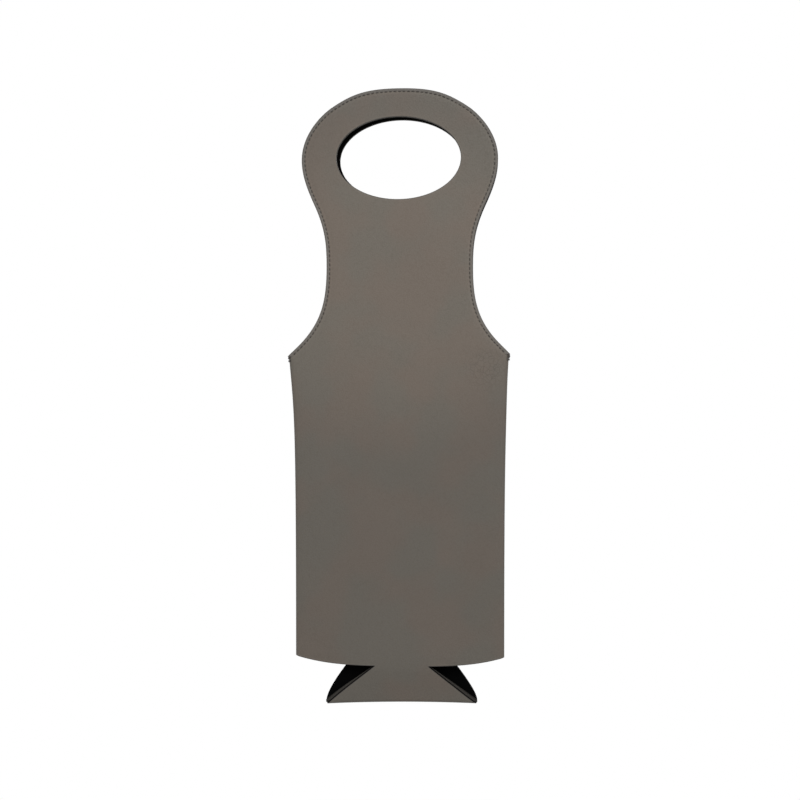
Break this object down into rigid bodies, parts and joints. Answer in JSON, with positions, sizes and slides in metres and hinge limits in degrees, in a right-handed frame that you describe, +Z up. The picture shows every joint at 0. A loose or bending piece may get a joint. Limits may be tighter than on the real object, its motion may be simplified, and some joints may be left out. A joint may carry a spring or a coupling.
{
  "type": "bottle carrier",
  "caption": "Flat-folding one-bottle carrier: a padded pocket that runs up into two handle flaps with oval hand holes, and a folded base strap.",
  "frame": {"origin": "centre of the hand hole, midway between the two handle flaps, with the carrier folded flat and held upright", "axes": "+X to the right across the width, +Y from the front panel to the back panel, +Z up towards the handle"},
  "size_m": [0.1486, 0.0134, 0.4102],
  "materials": {
    "leatherette": "matt, fine-grained",
    "foam_lining": "matt black foam",
    "thread": "matt twisted thread"
  },
  "bodies": {
    "pocket": {"front_panel_skin": "leatherette", "front_panel_foam": "foam_lining", "back_panel_skin": "leatherette", "back_panel_foam": "foam_lining", "left_side_skin": "leatherette", "left_side_foam": "foam_lining", "right_side_skin": "leatherette", "right_side_foam": "foam_lining", "left_seam_stitching": "thread", "right_seam_stitching": "thread", "left_bar_tack": "thread", "right_bar_tack": "thread"},
    "front_handle": {"front_handle_skin": "leatherette", "front_handle_foam": "foam_lining", "front_edge_stitching": "thread"},
    "back_handle": {"back_handle_skin": "leatherette", "back_handle_foam": "foam_lining", "back_edge_stitching": "thread"},
    "base": {"base_skin": "leatherette", "base_foam": "foam_lining"}
  },
  "joints": [
    {"name": "front_handle_bend", "type": "hinge", "parent": "pocket", "child": "front_handle", "pos_m": [0, -0.0064, -0.1324], "axis": [1, 0, 0], "range_deg": [0, 80], "stiffness_Nm_per_rad": 0.15},
    {"name": "back_handle_bend", "type": "hinge", "parent": "pocket", "child": "back_handle", "pos_m": [0, 0.0064, -0.1324], "axis": [-1, 0, 0], "range_deg": [0, 80], "stiffness_Nm_per_rad": 0.15},
    {"name": "base_swing", "type": "hinge", "parent": "pocket", "child": "base", "pos_m": [0, 0.0064, -0.3384], "axis": [1, 0, 0], "range_deg": [0, 60], "stiffness_Nm_per_rad": 0.02, "springref_deg": -17.19}
  ]
}
